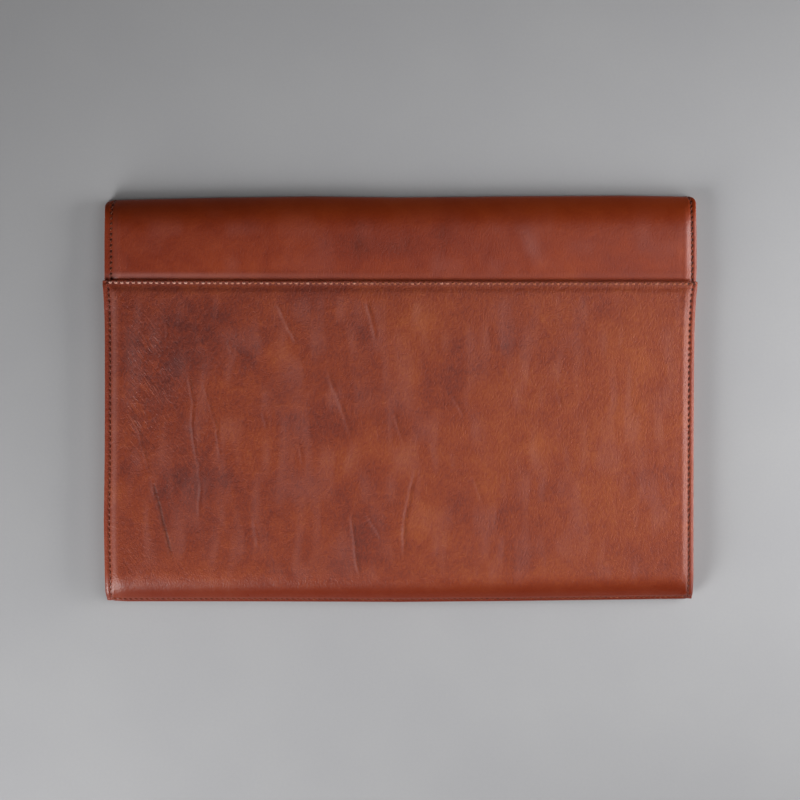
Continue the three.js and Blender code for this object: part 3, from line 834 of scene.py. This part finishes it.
chestnutLeather = {
    # vegetable-tanned cowhide, aniline dyed by hand and lightly waxed: mottled reddish brown
    # that turns orange where the dye is thin, with a soft gloss and a fine stretched grain
    "dark": "#6a271c", "red": "#87331b", "brown": "#983e1b", "orange": "#aa5122",
    "border": "#93351a", "rim": "#a94f28", "edgeBand": "#6e240e", "paintedHighlight": "#bb8078", "paintedShade": "#45150c",
    "shadedHole": "#2e0f07", "flesh": "#8a6546",
    "stops": [(0.08, "dark"), (0.36, "red"), (0.58, "brown"), (0.92, "orange")],
    "toneSize": 42, "patchSize": 12, "poreSize": 0.8,
    # width, length, turn, detail and roughness of the grain's streaks and of the fine wrinkles
    "streak": (1.1, 2.3, 9, 4.0, 0.62), "fold": (11, 2.5, -wrinkleForm["turn"], 2.0, 0.62),
    "grain": 1.0, "mottle": 0.6, "roughness": 0.47, "coat": 0.1, "coatRoughness": 0.34, "ior": 1.5,
    # how strongly each mark tints the leather; the pale highlight mark and the dark shade mark are painted
    # light and shade, and the hole mark is painted shade in the needle holes
    "tints": {
        "light": 0.4, "paintedShade": 0.7, "border": 0.5, "rim": 0.6, "edgeBand": 0.85, "shadedHole": 0.75,
        "fleshSide": 1.0,
    },
    # what moves the tone, from 0, dark and red, to 1, light and orange
    "middle": 0.52, "toneShare": 1.1, "patchShare": 1.0, "streakShare": 0.9, "stainAndShadeShare": 0.3,
    "foldShare": -0.24, "patchRough": 0.2, "highlightRough": -0.12, "edgeBandRough": -0.16, "fleshRough": 0.3,
    # heights in millimetres
    "streakHeight": 0.32, "poreHeight": 0.16, "patchHeight": 0.5, "foldHeight": 0.27,
    "edgeBandFlat": 0.8, "holeDepth": 0.45,
}
# the flap is cut from a smoother, more even part of the hide
smoothChestnut = {
    **chestnutLeather, "grain": 0.45, "mottle": 0.5, "roughness": 0.43, "coat": 0.05,
    "dark": "#6e2512", "red": "#8a3014", "brown": "#993a15", "orange": "#a84a1a", "edgeBand": "#a83f10",
}


def needleHoles(tree):  # an oval at every whole stitch along a row, 1 inside it; it is painted dark as the shade in each hole
    along = maths(tree, "FRACT", maths(tree, "ADD", mark(tree, "stitchAlong"), 0.5))
    longer = sewing["seamPitch"] / sewing["holeLength"]
    along = maths(tree, "MULTIPLY", centred(tree, along), longer)
    across = maths(tree, "MULTIPLY", mark(tree, "stitchAcross"), 1 / sewing["holeWidth"])
    reach = maths(tree, "MULTIPLY_ADD", along, along, maths(tree, "MULTIPLY", across, across))
    edge = {"From Min": 0.4, "From Max": 1.3, "To Min": 1.0, "To Max": 0.0}
    inside = addNode(tree, "MapRange", edge, {"Value": reach}, interpolation_type="SMOOTHSTEP")
    return maths(tree, "MULTIPLY", inside.outputs[0], mark(tree, "holes"))


def foldLines(tree, noise):  # 1 along the top of each fine wrinkle and 0 between them
    ridges = maths(tree, "ABSOLUTE", maths(tree, "MULTIPLY_ADD", noise, 6.0, -3.0))
    ridges = maths(tree, "SUBTRACT", 1.0, maths(tree, "MINIMUM", ridges, 1.0))
    return maths(tree, "MULTIPLY", ridges, mark(tree, "wrinkle"))


def leatherMaterial(name, look):
    material, tree, shader = newMaterial(name)
    place, grain, mottle = placeInMm(tree), look["grain"], look["mottle"]
    tone = noiseOf(tree, place, look["toneSize"], 3.0)
    patch = noiseOf(tree, place, look["patchSize"], 5.0, 0.6, 0.5)
    streak = stretchedNoise(tree, place, *look["streak"])
    cells = {"Scale": 1 / look["poreSize"], "Smoothness": 0.6}
    pore = addNode(tree, "TexVoronoi", cells, {"Vector": place}, feature="SMOOTH_F1").outputs[0]
    folds = foldLines(tree, stretchedNoise(tree, place, *look["fold"]))
    share = layered(tree, look["middle"], [
        (centred(tree, tone), look["toneShare"] * mottle),
        (centred(tree, patch), look["patchShare"] * mottle),
        (centred(tree, streak), look["streakShare"] * grain),
        (mark(tree, "stainAndShade"), look["stainAndShadeShare"]), (folds, look["foldShare"]),
    ])
    colour = rampOf(tree, share, look["stops"], look)
    paintedLight = mark(tree, "paintedLight")
    marks = {key: mark(tree, key) for key in ("border", "rim", "edgeBand", "fleshSide")}
    # the mark's positive part is painted highlight, tinted pale pink, and its negative part is painted shade
    marks["light"] = maths(tree, "MAXIMUM", paintedLight, 0.0)
    marks["paintedShade"] = maths(tree, "MAXIMUM", maths(tree, "MULTIPLY", paintedLight, -1.0), 0.0)
    marks["shadedHole"] = needleHoles(tree)
    tintColours = {**look, "light": look["paintedHighlight"], "fleshSide": look["flesh"]}
    for key, strength in look["tints"].items():
        amount = maths(tree, "MULTIPLY", marks[key], strength)
        colour = blend(tree, amount, colour, linear(tintColours[key]))
    rough = layered(tree, look["roughness"], [
        (centred(tree, patch), look["patchRough"]), (marks["light"], look["highlightRough"]),
        (marks["edgeBand"], look["edgeBandRough"]), (marks["fleshSide"], look["fleshRough"]),
    ])
    height = layered(tree, 0.0, [
        (streak, look["streakHeight"] * grain), (pore, look["poreHeight"] * grain),
        (patch, look["patchHeight"] * grain), (folds, look["foldHeight"]),
    ])
    height = maths(tree, "MULTIPLY", height, layered(tree, 1.0, [(marks["edgeBand"], -look["edgeBandFlat"])]))
    height = layered(tree, height, [(marks["shadedHole"], -look["holeDepth"])])
    bump = addNode(tree, "Bump", {"Strength": 1.0, "Distance": mm}, {"Height": height}).outputs[0]
    setShader(tree, shader, {
        "Base Color": colour, "Roughness": rough, "Normal": bump,
        "IOR": look["ior"], "Coat Weight": look["coat"], "Coat Roughness": look["coatRoughness"],
    })
    return material


waxedThread = {
    # spun polyester, waxed, tan; its tone paints a pale highlight where it stands proud and dark brown shade
    # where it is sunk in its groove
    "dark": "#5e2415", "tan": "#a85c3a", "paintedHighlight": "#dba898",
    "stops": [(0.0, "dark"), (0.5, "tan"), (1.0, "paintedHighlight")],
    "roughness": 0.75, "twist": 0.5, "plyShare": 0.28, "plyBump": 0.6, "plyHeight": 0.1,
}


def threadMaterial(name, look):
    material, tree, shader = newMaterial(name)
    ply = noiseOf(tree, placeInMm(tree), look["twist"], 2.0)
    share = layered(tree, mark(tree, "threadLightAndShade"), [(centred(tree, ply), look["plyShare"])])
    relief = {"Strength": look["plyBump"], "Distance": look["plyHeight"] * mm}
    setShader(tree, shader, {
        "Base Color": rampOf(tree, share, look["stops"], look), "Roughness": look["roughness"],
        "Normal": addNode(tree, "Bump", relief, {"Height": ply}).outputs[0],
    })
    return material


studioFloor = {
    # smooth grey card, matt, with faint cloudy marks
    "light": "#c0c0c1", "dark": "#b6b6b9", "cloudSize": 70, "fibreSize": 1.6, "fibreShare": 0.5,
    "roughness": 0.8, "half": 2.5,  # half its width, in metres
}


def floorMaterial(name, look):
    material, tree, shader = newMaterial(name)
    place = placeInMm(tree)
    cloud = noiseOf(tree, place, look["cloudSize"], 5.0)
    fibre = noiseOf(tree, place, look["fibreSize"], 3.0)
    share = layered(tree, cloud, [(centred(tree, fibre), look["fibreShare"])])
    colour = blend(tree, share, linear(look["dark"]), linear(look["light"]))
    setShader(tree, shader, {"Base Color": colour, "Roughness": look["roughness"]})
    return material


# Camera straight above, at the photograph's angle

cameraView = {"lens": 150, "sensor": 36, "widthSeen": 472.6, "planeHeight": 11, "aimX": 0.0, "aimY": -0.6}


def addCamera(look):
    data = bpy.data.cameras.new("camera")
    data.lens, data.sensor_width = look["lens"], look["sensor"]
    camera = addObject("camera", data)
    distance = look["widthSeen"] * look["lens"] / look["sensor"]
    camera.location = (look["aimX"] * mm, look["aimY"] * mm, (look["planeHeight"] + distance) * mm)
    bpy.context.scene.camera = camera


# Studio: a low soft box in front on the left, two small ones low on the right, and a weak high one

studioLights = [
    # name, turn from the right in degrees, rise in degrees, distance and size in metres, power
    # in watts, and spread in degrees, which narrows the beam when it is below 180
    ("front", 228, 24, 0.95, 0.55, 2.4, 90), ("right", 2, 18, 0.7, 0.4, 1.35, 110),
    ("frontRight", 330, 18, 0.7, 0.4, 0.31, 90), ("high", 0, 66, 0.9, 0.6, 1.5, 180),
]
studioWorld = {"colour": "#ffffff", "strength": 0.01}


def addLights(lights, world):
    for name, turn, rise, distance, size, power, spread in lights:
        data = bpy.data.lights.new(name, "AREA")
        data.shape, data.size, data.energy = "SQUARE", size, power
        turn, rise, data.spread = math.radians(turn), math.radians(rise), math.radians(spread)
        light = addObject(name, data)
        flat = distance * math.cos(rise)
        light.location = (flat * math.cos(turn), flat * math.sin(turn), distance * math.sin(rise))
        light.rotation_euler = (math.pi / 2 - rise, 0, turn + math.pi / 2)
    background = bpy.data.worlds.new("studio")
    background.use_nodes = True
    node = background.node_tree.nodes["Background"]
    node.inputs["Color"].default_value = linear(world["colour"])
    node.inputs["Strength"].default_value = world["strength"]
    bpy.context.scene.world = background
    bpy.context.scene.view_settings.view_transform = "Standard"


def addFloor(look):
    mesh = bpy.data.meshes.new("studioFloor")
    half = look["half"]
    corners = [(-half, -half, 0), (half, -half, 0), (half, half, 0), (-half, half, 0)]
    mesh.from_pydata(corners, [], [(0, 1, 2, 3)])
    mesh.materials.append(floorMaterial("greyCard", look))
    addObject("studioFloor", mesh)


addCamera(cameraView)
addLights(studioLights, studioWorld)
addFloor(studioFloor)
print("camera, lights and floor made")

# Each sheet's steps across and along it, finer in the stretches that have stitches

panelRim, flapRim = form["panelWall"] / 2, form["flapWall"] / 2
lowStop = bottomY + panelRim / bottomSlope
backPanelLook = {
    "surface": backSurface, "detail": backDetail, "wall": form["panelWall"],
    "acrossStep": 0.68, "edgeStep": 0.45, "steps": [0.7, 1.7, 1.0, 0.45],
    "stops": [lowStop, bottomY + 19, seamY - 20, seamY - 10, seamY - panelRim],
}
frontPanelLook = {
    "surface": frontSurface, "detail": frontDetail, "wall": form["panelWall"],
    "acrossStep": 4, "edgeStep": 0.8, "steps": [4, 0.8],
    "stops": [mouthY - panelRim, bottomY + 19, lowStop],
}
flapLook = {
    "surface": flapSurface, "detail": flapDetail, "wall": form["flapWall"],
    "acrossStep": 1.2, "edgeStep": 0.45,
    "steps": [0.1, 0.08, 0.08, 0.04, 0.08, 3 / frontRun, 0.5 / frontRun],
    "stops": [flapRim / form["seamLap"], 1, 2, 3, 4, 5, 6 - 7 / frontRun, 6 - flapRim / frontRun],
}

# Rows of stitches: each line is a path, its normals, its first stitch and how far before its end
# the last one stops. Tones are spread evenly from a row's start to its end; they paint light and shade
# on the thread: a pale highlight towards the seam's left, dark shade on the rows sunk in their grooves.


def rowLines(traces, first, last):
    return [(*trace, first, last) for trace in traces]


def backStitchRows():
    sides = sideTraces(backSurface, backRows, "leftInset", "rightInset")
    first = sewing["crossStart"]
    return [
        {"lines": rowLines(sides, sewing["sideStart"], -3.0), "lift": -0.2, "tone": (0.05, 0.05),
         "slant": 0.24, "pitch": "sidePitch"},
        {"lines": rowLines([seamTrace], first, -1.5), "lift": -0.18, "tone": (0.85, 0.56, 0.46, 0.42),
         "slant": 0.1, "thread": "seamThread", "pitch": "seamPitch"},
        {"lines": rowLines([bottomTrace], first, -1.5), "lift": -0.2, "tone": (0.14, 0.14),
         "slant": 0.1, "pitch": "bottomPitch"},
    ]


def frontStitchRows():
    rows = np.linspace(mouthY - 1, bottomY + 1, 900)
    lines = rowLines(sideTraces(frontSurface, rows, "leftInset", "rightInset"), 1.0, -3.0)
    bottom = traceAcross(frontSurface, np.linspace(-0.985, 0.985, 1200), bottomStitchY, -0.1)
    lines += rowLines([bottom], 1.0, -1.0)
    return [
        {"lines": lines, "lift": -0.16, "tone": (0.2, 0.2), "slant": 0.15, "pitch": "hiddenPitch"},
    ]


def flapStitchRows():
    insets = ("stripLeftInset", "stripRightInset")
    strip = sideTraces(flapSurface, np.linspace(stripStation, 4.9, 2400), *insets)
    under = rowLines(sideTraces(flapSurface, np.linspace(4.95, 5.985, 900), *insets), 0.6, -2.5)
    endStation = 6 - sewing["flapEndInset"] / frontRun
    end = traceAcross(flapSurface, np.linspace(-0.982, 0.982, 1200), endStation, 0.002)
    under += rowLines([end], 1.0, -1.0)
    return [
        {"lines": rowLines(strip, sewing["stripStart"], -0.3), "lift": -0.16, "tone": (0.14, 0.14),
         "slant": 0.42, "pitch": "stripPitch"},
        {"lines": under, "lift": -0.62, "tone": (0.3, 0.3), "slant": 0.1, "pitch": "hiddenPitch"},
    ]


leather = leatherMaterial("chestnutLeather", chestnutLeather)
smoothLeather = leatherMaterial("smoothChestnutLeather", smoothChestnut)
thread = threadMaterial("waxedThread", waxedThread)

backPanel = leatherSheet("backPanel", backPanelLook)
backPanel.data.materials.append(leather)
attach(backPanel, "root")
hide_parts("back_panel")

frontPanel = leatherSheet("frontPanel", frontPanelLook)
frontPanel.data.materials.append(leather)
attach(frontPanel, "root")
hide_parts("front_panel")

flapLeather = leatherSheet("flapLeather", flapLook)
flapLeather.data.materials.append(smoothLeather)
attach(flapLeather, "root")
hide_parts("flap")

for name, rows, slotName in (
    ("backStitches", backStitchRows(), "panel_leather"),
    ("frontStitches", frontStitchRows(), "panel_leather"),
    ("flapStitches", flapStitchRows(), "flap_leather"),
):
    stitches = threadPiece(name, rows)
    stitches.data.materials.append(thread)
    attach(stitches, "root")
